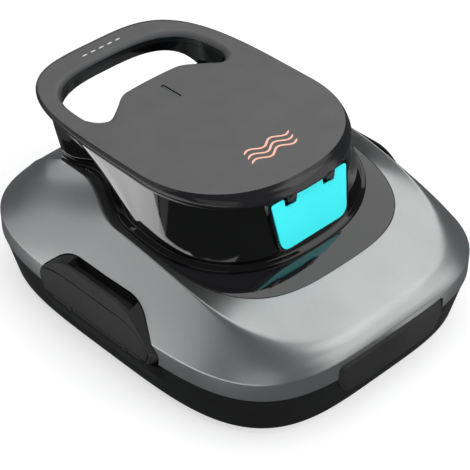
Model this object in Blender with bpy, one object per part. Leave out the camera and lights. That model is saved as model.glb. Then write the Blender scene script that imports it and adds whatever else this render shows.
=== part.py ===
"""Cordless robotic pool cleaner: floor tray, latched upper shell, glossy pod, jet flaps and drive.

All driving dimensions are in millimetres. +Z is up, the floor is z = 0, the front jet faces -Y and
the carrying handle is at +Y. The machine is symmetric about the plane x = 0.
"""
import math

import bmesh
import bpy
from mathutils import Matrix, Vector

MM = 0.001
GAP = 0.3                      # clearance between pieces that touch
SEGMENTS = 80                  # points round a shell; a multiple of 80 puts one on the rear corner

# Floor tray
TRAY_BOTTOM_Z = 6.0
TRAY_RIM_Z = 51.7
TRAY_BOTTOM = (153.4, 189.3)   # half width and half length at the floor
TRAY_RIM = (163.2, 199.2)
TRAY_WALL = 3.0
SHELL_POWER = 3.8              # squareness of the tray and skirt outlines

# Wheels, one at each corner
WHEEL_RADIUS = 17.0
WHEEL_WIDTH = 12.0
WHEEL_X = 118.0
WHEEL_Y = 120.0
AXLE_RADIUS = 2.5
WELL_TOP_Z = 38.0

# Upper shell
SKIRT = (164.0, 200.0)
SKIRT_BOTTOM_Z = 52.0
CREASE_Z = 71.0
RIDGE = dict(width=130.0, front=-188.0, power=3.9, rear_width=100.0, rear=119.0, pinch=(5.0, 88.0))
DECK = dict(width=120.0, front=-137.0, power=3.1, rear_width=88.0, rear=108.0, pinch=(5.0, 88.0))
FOOT = dict(width=118.5, front=-109.0, power=2.35, rear_width=85.5, rear=105.0, pinch=(3.0, 86.0))
WALL = dict(width=113.0, front=-105.0, power=2.4, rear_width=80.0, rear=100.0, pinch=(0.0, 85.0))
DECK_HOLE = dict(width=98.0, front=-103.0, power=2.4, rear_width=72.0, rear=97.0, pinch=(3.0, 86.0))
WAIST_Y = -8.0                 # where the pod rings are widest
REAR_CORNER_SHARE = 0.85       # share of a rear quarter turn that runs along the side
COVER_WALL = 3.0

# Top plate with its handle loop
PLATE_WIDTH = 105.0
PLATE_MIDDLE_Y = 8.0
PLATE_FRONT = -91.0
PLATE_REAR = 190.5
PLATE_POWERS = (2.26, 3.66)
PLATE_Z = 178.8
PLATE_SLOPE = -0.012
BEVEL_BOTTOM_Z = 166.3
HANDLE_UNDER_Z = 155.0
POST_FOOT_Z = 131.4
LOOP_WIDTH = 83.5              # half width of the hand opening
LOOP_REAR = 167.0
LOOP_FRONT = 103.0
LOOP_DIP = 21.0                # how far the opening's front corners reach forward

# Jet outlets, flaps and pumps, mirrored front to rear
FLAP_TOP_Z = 165.0
FLAP_BOTTOM_Z = 118.0
FLAP_TOP_HALF = 45.5
FLAP_BOTTOM_HALF = 39.5
FLAP_TOP_Y = 98.5
FLAP_BOTTOM_Y = 107.5
FLAP_THICK = 2.4
FLAP_PIN_Z = 163.5
REAR_FLAP_RISE = 12.5          # the rear flap is shorter, above the higher rear deck
REAR_FLAP_SET_IN = 6.5
PUMP_Z = 141.0
PUMP_RADIUS = 21.0

# Side latches
LATCH_PIN_Z = 47.0
LATCH_PIN_X = 165.2
LATCH_OUT_X = 167.2
LATCH_DEEP_X = 157.0           # inner face of a latch above its hinge strip
LATCH_STRIP_X = 163.7          # inner face of the thin hinge strip

# Bumpers
BUMPER_HALF = 65.0
BUMPER_Z = (27.0, 65.0)
BUMPER_OUT = 202.2

MATERIALS = {
    "silver_paint": ((0.42, 0.44, 0.44), 0.28, 0.85),
    "gloss_black": ((0.01, 0.01, 0.011), 0.06, 0.0),
    "charcoal": ((0.12, 0.12, 0.125), 0.5, 0.0),
    "cyan_flap": ((0.03, 0.85, 0.95), 0.4, 0.0),
    "base_grey": ((0.045, 0.045, 0.048), 0.5, 0.0),
    "rubber": ((0.02, 0.02, 0.02), 0.75, 0.0),
    "steel": ((0.6, 0.6, 0.62), 0.25, 1.0),
    "inner_plastic": ((0.08, 0.08, 0.085), 0.55, 0.0),
    "lens": ((0.5, 0.55, 0.6), 0.1, 0.0),
    "board_green": ((0.02, 0.2, 0.08), 0.4, 0.0),
    "cell_wrap": ((0.05, 0.2, 0.45), 0.4, 0.0),
    "mesh_white": ((0.75, 0.78, 0.8), 0.7, 0.0),
}


def clear_scene():
    for item in list(bpy.data.objects):
        bpy.data.objects.remove(item, do_unlink=True)


def material(name):
    found = bpy.data.materials.get(name)
    if found:
        return found
    colour, roughness, metallic = MATERIALS[name]
    made = bpy.data.materials.new(name)
    made.use_nodes = True
    shader = made.node_tree.nodes["Principled BSDF"]
    shader.inputs["Base Color"].default_value = (*colour, 1.0)
    shader.inputs["Roughness"].default_value = roughness
    shader.inputs["Metallic"].default_value = metallic
    return made


def smoothstep(value, low, high):
    t = min(max((value - low) / (high - low), 0.0), 1.0)
    return t * t * (3.0 - 2.0 * t)


def blend(a, b, share):
    return [Vector(p).lerp(Vector(q), share) for p, q in zip(a, b)]


# ---------------------------------------------------------------- meshes and objects

def finish_mesh(name, bm, finish, smooth_angle=30.0, origin=None):
    bmesh.ops.recalc_face_normals(bm, faces=bm.faces)
    mesh = bpy.data.meshes.new(name)
    start = Vector(origin) if origin else Vector((0.0, 0.0, 0.0))
    bmesh.ops.scale(bm, vec=(MM, MM, MM), verts=bm.verts)
    bmesh.ops.translate(bm, vec=-start * MM, verts=bm.verts)
    bm.to_mesh(mesh)
    bm.free()
    item = bpy.data.objects.new(name, mesh)
    item.location = start * MM
    bpy.context.collection.objects.link(item)
    mesh.materials.append(material(finish))
    mesh.shade_smooth()
    mesh.set_sharp_from_angle(angle=math.radians(smooth_angle))
    return item


def loft(name, rings, finish, closed=False, **options):
    """A body through equal rings: capped at both ends, or closed on itself as a hollow shell."""
    bm = bmesh.new()
    rows = [[bm.verts.new(p) for p in ring] for ring in rings]
    pairs = list(zip(rows, rows[1:]))
    if closed:
        pairs.append((rows[-1], rows[0]))
    for low, high in pairs:
        for i in range(len(low)):
            j = (i + 1) % len(low)
            bm.faces.new((low[i], low[j], high[j], high[i]))
    if not closed:
        bm.faces.new(rows[0])
        bm.faces.new(rows[-1])
    bmesh.ops.triangulate(bm, faces=[f for f in bm.faces if len(f.verts) > 4])
    return finish_mesh(name, bm, finish, **options)


def slab(name, outer, inner, finish, **options):
    """A body between two grids of points that face each other."""
    bm = bmesh.new()
    rows, columns = len(outer), len(outer[0])
    sheets = [[[bm.verts.new(p) for p in row] for row in grid] for grid in (outer, inner)]
    for sheet in sheets:
        for r in range(rows - 1):
            for c in range(columns - 1):
                bm.faces.new((sheet[r][c], sheet[r][c + 1], sheet[r + 1][c + 1], sheet[r + 1][c]))
    edge = [(0, c) for c in range(columns)] + [(r, columns - 1) for r in range(1, rows)]
    edge += [(rows - 1, c) for c in range(columns - 2, -1, -1)] + [(r, 0) for r in range(rows - 2, 0, -1)]
    for i, (r, c) in enumerate(edge):
        nr, nc = edge[(i + 1) % len(edge)]
        bm.faces.new((sheets[0][r][c], sheets[0][nr][nc], sheets[1][nr][nc], sheets[1][r][c]))
    return finish_mesh(name, bm, finish, **options)


def box(name, low, high, finish, bevel=0.0, origin=None):
    bm = bmesh.new()
    size = Vector(high) - Vector(low)
    centre = (Vector(high) + Vector(low)) / 2.0
    bmesh.ops.create_cube(bm, size=1.0, matrix=Matrix.Translation(centre) @ Matrix.Diagonal((*size, 1.0)))
    if bevel:
        bmesh.ops.bevel(bm, geom=bm.edges, offset=bevel, segments=1, affect="EDGES")
    return finish_mesh(name, bm, finish, origin=origin)


def turned(name, profile, axis, centre, finish, sides=24, hollow=True, **options):
    """Spins (radius, along) points about an axis; a hollow profile closes on itself."""
    turn = {"X": Matrix.Rotation(math.pi / 2, 4, "Y"), "Y": Matrix.Rotation(-math.pi / 2, 4, "X"),
            "Z": Matrix.Identity(4)}[axis]
    place = Matrix.Translation(centre) @ turn
    rings = []
    for radius, along in profile:
        angles = [2.0 * math.pi * i / sides for i in range(sides)]
        rings.append([place @ Vector((radius * math.cos(a), radius * math.sin(a), along)) for a in angles])
    return loft(name, rings, finish, closed=hollow, **options)


def cutter(item):
    item.hide_render = True
    item.display_type = "WIRE"
    return item


def cut(item, tool, operation="DIFFERENCE"):
    change = item.modifiers.new("cut_" + tool.name, "BOOLEAN")
    change.operation = operation
    change.object = cutter(tool)


# ---------------------------------------------------------------- outlines

def oval(half_width, half_length, z, power=SHELL_POWER, count=SEGMENTS):
    """A squared oval about the origin at one height."""
    ring = []
    for i in range(count):
        angle = 2.0 * math.pi * i / count
        c, s = math.cos(angle), math.sin(angle)
        x = half_width * math.copysign(abs(c) ** (2.0 / power), c)
        y = half_length * math.copysign(abs(s) ** (2.0 / power), s)
        ring.append(Vector((x, y, z)))
    return ring


def pinched(shape, height, inset=0.0, count=SEGMENTS):
    """A ring round the pod: squared oval in front, drawn in towards a square rear end."""
    width, rear_width = shape["width"] - inset, shape["rear_width"] - inset
    front, rear = shape["front"] + inset, shape["rear"] - inset
    ring = []
    for i in range(count):
        angle = 2.0 * math.pi * i / count
        c, s = math.cos(angle), math.sin(angle)
        side = math.copysign(1.0, c)
        if s <= 0.0:
            x = width * abs(c) ** (2.0 / shape["power"])
            y = WAIST_Y - (WAIST_Y - front) * abs(s) ** (2.0 / shape["power"])
        else:
            share = min(math.asin(min(s, 1.0)) / (math.pi / 2.0) / REAR_CORNER_SHARE, 1.0)
            y = WAIST_Y + (rear - WAIST_Y) * share
            x = width - (width - rear_width) * smoothstep(y, *shape["pinch"])
            if share >= 1.0:
                left = 1.0 - math.asin(min(s, 1.0)) / (math.pi / 2.0)
                x = rear_width * left / (1.0 - REAR_CORNER_SHARE)
        ring.append(Vector((side * x, y, height(y))))
    return ring


def plate_outline(z, inset=0.0, front_extra=0.0, slope=0.0, count=SEGMENTS):
    """The top plate's outline: rounder in front, squarer at the handle."""
    ring = []
    for i in range(count):
        angle = 2.0 * math.pi * i / count
        c, s = math.cos(angle), math.sin(angle)
        power = PLATE_POWERS[0] if s < 0.0 else PLATE_POWERS[1]
        reach = PLATE_MIDDLE_Y - PLATE_FRONT + front_extra if s < 0.0 else PLATE_REAR - PLATE_MIDDLE_Y
        x = (PLATE_WIDTH - inset) * math.copysign(abs(c) ** (2.0 / power), c)
        y = PLATE_MIDDLE_Y + (reach - inset) * math.copysign(abs(s) ** (2.0 / power), s)
        ring.append(Vector((x, y, z + slope * y)))
    return ring


def loop_outline(z, grow=0.0, count=48):
    """The hand opening: an arched rear side, and a front side whose corners reach forward."""
    ring = []
    for i in range(count):
        angle = 2.0 * math.pi * i / count
        c, s = math.cos(angle), math.sin(angle)
        x = (LOOP_WIDTH + grow) * math.copysign(abs(c) ** (2.0 / 3.0), c)
        reach = LOOP_REAR + grow - 100.0
        y = 100.0 + reach * abs(s) ** (2.0 / 3.0)
        if s < 0.0:
            dip = LOOP_DIP * smoothstep(abs(x), 30.0, 72.0)
            y = LOOP_FRONT - grow - dip + (100.0 - LOOP_FRONT + LOOP_DIP) * abs(c) ** 9
        ring.append(Vector((x, y, z)))
    return ring


def ridge_height(y):
    rise = max(22.0 - y, 0.0) / 210.0
    return 131.0 - 45.0 * rise ** 1.7


def deck_height(y):
    slope = 0.153 if y < 0.0 else 0.03
    return 123.6 + slope * y


def deck_less(drop):
    return lambda y: deck_height(y) - drop


def tray_outline(z, inset=0.0):
    share = (z - TRAY_BOTTOM_Z) / (TRAY_RIM_Z - TRAY_BOTTOM_Z)
    half_width = TRAY_BOTTOM[0] + (TRAY_RIM[0] - TRAY_BOTTOM[0]) * share
    half_length = TRAY_BOTTOM[1] + (TRAY_RIM[1] - TRAY_BOTTOM[1]) * share
    return oval(half_width - inset, half_length - inset, z)


# ---------------------------------------------------------------- floor tray and what it carries

CORNERS = [("front_left", -1, -1), ("front_right", 1, -1), ("rear_left", -1, 1), ("rear_right", 1, 1)]
INLET_HALF = 55.0
INLET_Y = (98.0, 122.0)


def make_tray():
    tray = loft("base_tray", [tray_outline(TRAY_BOTTOM_Z, 3.0), tray_outline(TRAY_BOTTOM_Z + 3.0),
                              tray_outline(TRAY_RIM_Z)], "base_grey")
    hollow = loft("tray_hollow", [tray_outline(TRAY_BOTTOM_Z + TRAY_WALL, TRAY_WALL + 3.0),
                                  tray_outline(TRAY_BOTTOM_Z + TRAY_WALL + 3.0, TRAY_WALL),
                                  tray_outline(TRAY_RIM_Z + 5.0, TRAY_WALL)], "base_grey")
    for name, sx, sy in CORNERS:
        x, y = sx * WHEEL_X, sy * WHEEL_Y
        well = box("well_" + name, (x - 10, y - 22, 0), (x + 10, y + 22, WELL_TOP_Z), "base_grey")
        cut(hollow, well)
    cut(tray, hollow)
    for name, sx, sy in CORNERS:
        x, y = sx * WHEEL_X, sy * WHEEL_Y
        space = box("wheel_space_" + name, (x - 7.5, y - 19.5, 0), (x + 7.5, y + 19.5, WELL_TOP_Z - 2),
                    "base_grey")
        cut(tray, space)
        bore = turned("axle_bore_" + name, [(AXLE_RADIUS + GAP, -13), (AXLE_RADIUS + GAP, 13)], "X",
                      (x, y, WHEEL_RADIUS), "base_grey", sides=16, hollow=False)
        cut(tray, bore)
    for name, side in (("front", -1), ("rear", 1)):
        y = sorted((side * INLET_Y[0], side * INLET_Y[1]))
        cut(tray, box("inlet_" + name, (-INLET_HALF, y[0], 0), (INLET_HALF, y[1], 12), "base_grey"))


def make_wheels():
    for name, sx, sy in CORNERS:
        centre = (sx * WHEEL_X, sy * WHEEL_Y, WHEEL_RADIUS)
        half, r = WHEEL_WIDTH / 2.0, WHEEL_RADIUS
        profile = [(AXLE_RADIUS + GAP, -half), (6.0, -half), (7.5, -half + 2.0), (r - 4.0, -half + 2.0),
                   (r - 3.0, -half), (r - 1.0, -half), (r, -half + 1.2), (r, half - 1.2), (r - 1.0, half),
                   (r - 3.0, half), (r - 4.0, half - 2.0), (7.5, half - 2.0), (6.0, half),
                   (AXLE_RADIUS + GAP, half)]
        turned("wheel_" + name, profile, "X", centre, "rubber", sides=20, origin=centre)
        turned("axle_" + name, [(AXLE_RADIUS, -9.4), (AXLE_RADIUS, 9.4)], "X", centre, "steel",
               sides=16, hollow=False)


def make_inlet_flaps():
    for name, side in (("front", -1), ("rear", 1)):
        z = TRAY_BOTTOM_Z + TRAY_WALL + GAP
        y = sorted((side * (INLET_Y[0] - 5.0), side * (INLET_Y[1] + 4.0)))
        box("inlet_flap_" + name, (-INLET_HALF - 4, y[0], z), (INLET_HALF + 4, y[1], z + 1.6), "rubber",
            bevel=0.4, origin=(0, side * (INLET_Y[0] - 5.0), z + 0.8))
        y = sorted((side * 128.0, side * 132.0))
        box("wiper_strip_" + name, (-80, y[0], 1.0), (80, y[1], TRAY_BOTTOM_Z - GAP), "rubber", bevel=0.6)


def make_bumpers():
    for name, side in (("front", -1), ("rear", 1)):
        outer, inner = [], []
        for step in range(7):
            z = BUMPER_Z[0] + (BUMPER_Z[1] - BUMPER_Z[0]) * step / 6.0
            edge = 10.0 * max(0.0, 1.0 - step / 2.0) ** 1.5
            share = min((z - TRAY_BOTTOM_Z) / (TRAY_RIM_Z - TRAY_BOTTOM_Z), 1.0)
            length = TRAY_BOTTOM[1] + (TRAY_RIM[1] - TRAY_BOTTOM[1]) * share + GAP
            width = TRAY_BOTTOM[0] + (TRAY_RIM[0] - TRAY_BOTTOM[0]) * share
            half = BUMPER_HALF - edge
            out_row, in_row = [], []
            for column in range(11):
                x = -half + 2.0 * half * column / 10.0
                arc = (1.0 - abs(x / width) ** SHELL_POWER) ** (1.0 / SHELL_POWER)
                rim = min(step, 6 - step, column, 10 - column)
                out_row.append((x, side * (BUMPER_OUT * arc - (1.0 if rim == 0 else 0.0)), z))
                in_row.append((x, side * length * arc, z))
            outer.append(out_row)
            inner.append(in_row)
        slab("bumper_" + name, outer, inner, "rubber")


def latch_half_span(z, margin=0.0):
    """Front and rear ends of a latch at one height: wide at its shoulder, narrow at its top edge."""
    shoulder = 60.0
    if z < shoulder:
        grow = smoothstep(z, 42.0, shoulder)
        return -68.0 - 12.0 * grow - margin, 62.0 + 8.0 * grow + margin
    fall = (z - shoulder) / (94.0 - shoulder)
    return -80.0 + 34.0 * fall ** 1.3 - margin, 70.0 - 24.0 * fall ** 1.6 + margin


def make_latches():
    for name, side in (("left", -1), ("right", 1)):
        outer, inner = [], []
        strip, deep_x = LATCH_STRIP_X, LATCH_DEEP_X
        for z, out, deep in ((43.5, 1.2, strip), (45.5, 0.0, strip), (52.8, 0.0, strip + 0.2),
                             (53.2, 0.0, deep_x), (60.0, 0.0, deep_x), (72.0, 0.5, deep_x),
                             (84.0, 1.0, deep_x - 1.0), (92.0, 1.4, deep_x - 2.0), (94.0, 2.6, deep_x - 2.0)):
            low, high = latch_half_span(z)
            ys = [low, low + 2.0] + [low + (high - low) * k / 6.0 for k in range(1, 6)] + [high - 2.0, high]
            edge = [1.2, 0.0] + [0.0] * 5 + [0.0, 1.2]
            outer.append([(side * (LATCH_OUT_X - out - e), y, z) for y, e in zip(ys, edge)])
            inner.append([(side * deep, y, z) for y in ys])
        slab("latch_" + name, outer, inner, "base_grey", origin=(side * LATCH_PIN_X, 0, LATCH_PIN_Z))
        pin_centre = (side * LATCH_PIN_X, 0, LATCH_PIN_Z)
        bore = turned("pin_bore_" + name, [(1.1, -78), (1.1, 78)], "Y", pin_centre, "steel", sides=10,
                      hollow=False)
        cut(bpy.data.objects["latch_" + name], bore)
        turned("latch_pin_" + name, [(0.8, -60), (0.8, 56)], "Y", pin_centre, "steel", sides=10, hollow=False)


# ---------------------------------------------------------------- upper shell

def cover_rings():
    ridge = pinched(RIDGE, ridge_height)
    crease = oval(SKIRT[0], SKIRT[1], CREASE_Z)
    middle = [p + Vector((p.x, p.y, 60.0)).normalized() * 2.0 for p in blend(crease, ridge, 0.5)]
    t = COVER_WALL
    inner_ridge = pinched(RIDGE, lambda y: ridge_height(y) - 6.0, inset=4.0)
    inner_crease = oval(SKIRT[0] - t, SKIRT[1] - t, CREASE_Z - 1.5)
    outer = [oval(SKIRT[0], SKIRT[1], SKIRT_BOTTOM_Z), crease, middle, ridge]
    ledge = [pinched(DECK, deck_height, -GAP), pinched(DECK, deck_less(2.8), -GAP),
             pinched(DECK, deck_less(2.8), 7.0), pinched(DECK, deck_less(6.0), 7.0),
             pinched(DECK, deck_less(6.0), -1.0)]
    inner = [inner_ridge, blend(inner_crease, inner_ridge, 0.5), inner_crease,
             oval(SKIRT[0] - t, SKIRT[1] - t, SKIRT_BOTTOM_Z)]
    return outer + ledge + inner


def notch_tool(name, side, margin, x_range):
    """A prism with the latch's outline, open at the bottom."""
    points = []
    for z in (40.0, 60.0, 72.0, 84.0, 100.5, 103.0):
        low, high = latch_half_span(min(z - 6.0, 94.0) if z > 66.0 else 60.0, margin)
        points.append((low, high, z))
    loop = [(low, z) for low, high, z in points] + [(high, z) for low, high, z in reversed(points)]
    rings = [[Vector((side * x, y, z)) for y, z in loop] for x in x_range]
    return loft(name, rings, "base_grey")


def make_cover():
    cover = loft("top_cover", cover_rings(), "silver_paint", closed=True)
    for name, side in (("left", -1), ("right", 1)):
        cut(cover, notch_tool("notch_" + name, side, 2.5, (132.0, 175.0)))
    for name, side in (("front", -1), ("rear", 1)):
        y = sorted((side * 185.0, side * 210.0))
        arch = box("arch_" + name, (-BUMPER_HALF - 3, y[0], 45), (BUMPER_HALF + 3, y[1], BUMPER_Z[1] + 1.5),
                   "rubber")
        cut(cover, arch)
    for name, side in (("left", -1), ("right", 1)):
        outer, inner = [], []
        for z in (56.0, 72.0, 84.0, 93.0):
            low, high = latch_half_span(max(z, 60.0), -1.0)
            xs = [low + (high - low) * k / 4.0 for k in range(5)]
            outer.append([(side * 149.5, y, z) for y in xs])
            inner.append([(side * 147.5, y, z) for y in xs])
        slab("latch_recess_" + name, outer, inner, "base_grey")


def make_deck_panel():
    loft("deck_panel", [pinched(DECK, deck_height), pinched(DECK, deck_less(2.5)),
                        pinched(DECK_HOLE, deck_less(2.5)), pinched(DECK_HOLE, deck_height)],
         "gloss_black", closed=True)


def above_deck(rise):
    return lambda y: deck_height(y) + rise


def wall_rings(inset):
    top = pinched(dict(WALL, width=101.0, front=-97.5, power=2.3, rear_width=93.0, rear=99.0,
                       pinch=(30.0, 99.0)), lambda y: BEVEL_BOTTOM_Z - GAP, inset)
    low = pinched(WALL, above_deck(8.0), inset)
    rings = [pinched(FOOT, above_deck(GAP), inset), pinched(FOOT, above_deck(3.5), inset)]
    rings += [low, blend(low, top, 0.5), top]
    return rings


def flap_half(z):
    share = (z - FLAP_BOTTOM_Z) / (FLAP_TOP_Z - FLAP_BOTTOM_Z)
    return FLAP_BOTTOM_HALF + (FLAP_TOP_HALF - FLAP_BOTTOM_HALF) * share


def outlet_tool(name, side):
    """A flap-shaped prism through the pod wall, open at the top."""
    low = FLAP_BOTTOM_Z - 1.2 + (REAR_FLAP_RISE if side > 0 else 0.0)
    high = BEVEL_BOTTOM_Z + 3.0
    corners = ((-flap_half(low) - 1.0, low), (flap_half(low) + 1.0, low),
               (flap_half(high) + 1.0, high), (-flap_half(high) - 1.0, high))
    rings = [[Vector((x, side * y, z)) for x, z in corners] for y in (75.0, 120.0)]
    return loft(name, rings, "gloss_black")


def make_pod():
    outer, inner = wall_rings(0.0), wall_rings(3.0)
    pod = loft("pod_housing", outer + inner[::-1], "gloss_black", closed=True)
    for name, side in (("front", -1), ("rear", 1)):
        cut(pod, outlet_tool("outlet_" + name, side))
    cut(pod, box("button_hole", (59, 90, 146), (71, 110, 158), "gloss_black"))
    cut(pod, box("socket_hole", (-71, 90, 146), (-59, 110, 158), "gloss_black"))


def make_top_plate():
    t = 3.0
    rings = [plate_outline(BEVEL_BOTTOM_Z + 3.0, 5.0 + t, 5.0), plate_outline(BEVEL_BOTTOM_Z, 5.0 + t, 6.0),
             plate_outline(BEVEL_BOTTOM_Z, 4.0, 7.0), plate_outline(PLATE_Z - 1.8, 0.0, 0.0, PLATE_SLOPE),
             plate_outline(PLATE_Z, 1.4, 0.0, PLATE_SLOPE)]
    plate = loft("top_plate", rings, "charcoal")
    cut(plate, loft("plate_loop", [loop_outline(140.0), loop_outline(200.0)], "charcoal"))
    hollow = loft("plate_hollow", [[Vector((p.x, min(p.y, 78.0), z)) for p in plate_outline(z, 9.0)]
                                   for z in (150.0, PLATE_Z - 4.0)], "charcoal")
    cut(plate, hollow)
    cut(plate, box("lens_slot", (-1.3, 66, 170), (1.3, 90, 190), "charcoal"))
    box("led_lens", (-1.0, 66.3, PLATE_Z - 3.6), (1.0, 89.7, PLATE_Z - 1.4), "lens", bevel=0.3)


def make_handle():
    """The loop's glossy underside, with a post down to the cover at each rear corner."""
    ring = [Vector((p.x, max(p.y, 100.0), p.z)) for p in plate_outline(HANDLE_UNDER_Z, inset=6.5)]
    top = [Vector((p.x, max(p.y, 100.0), p.z)) for p in plate_outline(BEVEL_BOTTOM_Z - GAP, inset=4.0)]
    ring = [p for i, p in enumerate(ring) if i <= SEGMENTS // 2]
    top = [p for i, p in enumerate(top) if i <= SEGMENTS // 2]
    frame = loft("handle_frame", [ring, top], "gloss_black")
    loop = loft("frame_loop", [loop_outline(140.0, grow=1.0), loop_outline(180.0, grow=0.5)], "gloss_black")
    cut(frame, loop)
    cut(frame, box("frame_front", (-79, 90, 130), (79, 120, 190), "gloss_black"))
    for name, side in (("left", -1), ("right", 1)):
        rings = []
        for step in range(6):
            rise = step / 5.0
            z = POST_FOOT_Z + (160.0 - POST_FOOT_Z) * rise
            x_out = 96.5 + 2.5 * rise
            x_in = 80.5 + 5.0 * rise
            y_near, y_far = 106.5 - 4.5 * rise, 119.0 + 36.0 * rise ** 1.5
            corners = ((x_in, y_near), (x_out, y_near), (x_out, y_far - 4.0), (x_out - 5.0, y_far),
                       (x_in, y_far))
            rings.append([Vector((side * x, y, z)) for x, y in corners])
        cut(frame, loft("post_" + name, rings, "gloss_black"), "UNION")


def make_jets():
    """Flap, hinge pin, duct, impeller and motor of the front jet, and the same turned to the rear."""
    for name, side in (("front", -1), ("rear", 1)):
        low_z = FLAP_BOTTOM_Z + (REAR_FLAP_RISE if side > 0 else 0.0)
        slope = (FLAP_BOTTOM_Y - FLAP_TOP_Y) / (FLAP_TOP_Z - FLAP_BOTTOM_Z)
        rear_shift = -REAR_FLAP_SET_IN if side > 0 else 0.0
        outer, inner = [], []
        for step in range(6):
            z = low_z + (FLAP_TOP_Z - low_z) * step / 5.0
            half = flap_half(z) - (5.0 if step == 0 else 0.0)
            y = FLAP_TOP_Y + slope * (FLAP_TOP_Z - z) + rear_shift
            xs = [-half + 2.0 * half * k / 8.0 for k in range(9)]
            outer.append([(x, side * y, z) for x in xs])
            inner.append([(x, side * (y - FLAP_THICK), z) for x in xs])
        pin_y = side * (FLAP_TOP_Y - FLAP_THICK / 2.0 + rear_shift)
        slab("jet_flap_" + name, outer, inner, "cyan_flap", origin=(0, pin_y, FLAP_PIN_Z))
        bore = turned("flap_bore_" + name, [(0.9, -50), (0.9, 50)], "X", (0, pin_y, FLAP_PIN_Z), "steel",
                      sides=8, hollow=False)
        cut(bpy.data.objects["jet_flap_" + name], bore)
        turned("flap_pin_" + name, [(0.6, -45), (0.6, 45)], "X", (0, pin_y, FLAP_PIN_Z), "steel",
               sides=8, hollow=False)
        make_pump(name, side)


def make_pump(name, side):
    sides = 24
    mouth_y, throat_y = side * (93.5 if side < 0 else 88.0), side * 50.0
    rings = []
    for wall in (0.0, 2.0):
        shapes = []
        for y, square in ((mouth_y, 1.0), (side * 66.0, 0.15), (throat_y, 0.0)):
            ring = []
            for i in range(sides):
                angle = 2.0 * math.pi * i / sides
                c, s = math.cos(angle), math.sin(angle)
                power = 2.0 + 6.0 * square
                x = (PUMP_RADIUS + 17.0 * square - wall) * math.copysign(abs(c) ** (2.0 / power), c)
                z = (PUMP_RADIUS - 1.5 * square - wall) * math.copysign(abs(s) ** (2.0 / power), s)
                ring.append(Vector((x, y, PUMP_Z + 2.0 * square + z)))
            shapes.append(ring)
        rings += shapes if wall == 0.0 else shapes[::-1]
    loft("jet_duct_" + name, rings, "inner_plastic", closed=True)
    turned("pump_motor_" + name, [(5.0, side * 47.0), (15.0, side * 45.0), (15.0, side * 30.3)], "Y",
           (0, 0, PUMP_Z), "steel", hollow=False)
    make_impeller(name, side)


def make_impeller(name, side):
    blades = 4
    hub = turned("impeller_" + name, [(4.0, side * 49.0), (5.0, side * 52.0), (5.0, side * 60.0),
                                      (2.5, side * 64.0)], "Y", (0, 0, PUMP_Z), "inner_plastic", sides=16,
                 hollow=False, origin=(0, side * 56.0, PUMP_Z))
    for k in range(blades):
        turn = Matrix.Rotation(2.0 * math.pi * k / blades, 4, "Y")
        rings = []
        for radius, twist in ((3.5, 0.9), (11.0, 0.6), (17.8, 0.4)):
            along, across = 5.0 * math.sin(twist), 5.0 * math.cos(twist)
            corners = ((-across, -along - 0.6), (across, along - 0.6), (across, along + 0.6),
                       (-across, -along + 0.6))
            centre = Vector((0, side * 56.0, PUMP_Z))
            rings.append([turn @ Vector((x * 0.8, y, radius)) + centre for x, y in corners])
        cut(hub, loft("blade_" + name + str(k), rings, "inner_plastic"), "UNION")


def make_inside():
    """The dry chamber with cells, board and lid, and the filter below it."""
    chamber = box("motor_chamber", (-68, -30, 72), (68, 30, 158), "inner_plastic")
    cut(chamber, box("chamber_space", (-61, -27.5, 74.5), (61, 27.5, 170), "inner_plastic"))
    seal = box("chamber_seal", (-68, -30, 158.3), (68, 30, 159.5), "rubber")
    cut(seal, box("seal_hole", (-61, -27.5, 150), (61, 27.5, 170), "rubber"))
    lid = box("chamber_lid", (-68, -30, 159.8), (68, 30, 162.3), "inner_plastic")
    for k, (x, y) in enumerate(((-64.5, -24), (64.5, -24), (-64.5, 24), (64.5, 24))):
        name = "lid_screw_" + str(k + 1)
        turned(name, [(1.4, 146), (1.4, 162.6), (2.8, 162.6), (2.8, 164.6)], "Z", (x, y, 0), "steel",
               sides=12, hollow=False)
        bore = turned("bore_" + name, [(1.8, 145), (1.8, 170)], "Z", (x, y, 0), "steel", sides=12,
                      hollow=False)
        for piece in (chamber, seal, lid):
            cut(piece, bore)
    box("battery_pack", (-58, -22, 75), (58, 22, 128), "cell_wrap", bevel=4.0)
    box("control_board", (-59, -24, 140), (59, 24, 141.6), "board_green")
    frame = box("filter_frame", (-118, -78, 54), (118, 78, 62), "inner_plastic", bevel=2.0)
    for k, (x, half) in enumerate(((-86.0, 27.0), (0.0, 55.0), (86.0, 27.0))):
        cut(frame, box("filter_window_" + str(k), (x - half, -70, 40), (x + half, 70, 70), "inner_plastic"))
    box("filter_mesh", (-114, -74, 62.3), (114, 74, 63.3), "mesh_white")


def make_controls():
    box("power_button", (60.2, 94.5, 147.2), (69.8, 101.0, 156.8), "charcoal", bevel=0.8,
        origin=(65, 101, 152))
    socket = box("charge_socket", (-70.5, 86.0, 146.5), (-59.5, 98.5, 157.5), "inner_plastic")
    bore = turned("socket_bore", [(3.5, 89), (3.5, 110)], "Y", (-65, 0, 152), "steel", sides=16, hollow=False)
    cut(socket, bore)
    box("charge_cap", (-73.0, 100.6, 144.5), (-57.0, 102.6, 159.5), "rubber", bevel=0.6,
        origin=(-65, 101.6, 158.7))


clear_scene()
make_tray()
make_wheels()
make_inlet_flaps()
make_bumpers()
make_latches()
make_cover()
make_deck_panel()
make_pod()
make_top_plate()
make_handle()
make_jets()
make_inside()
make_controls()
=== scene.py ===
"""Looks of the cordless pool cleaner: fine shells, materials, studio light and camera round the CAD frame.

Shapes are worked out in millimetres in the frame's own axes (+Z up, front jet towards -Y) and made in metres.
"""
import math

import bmesh
import bpy
from mathutils import Matrix, Vector


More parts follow.
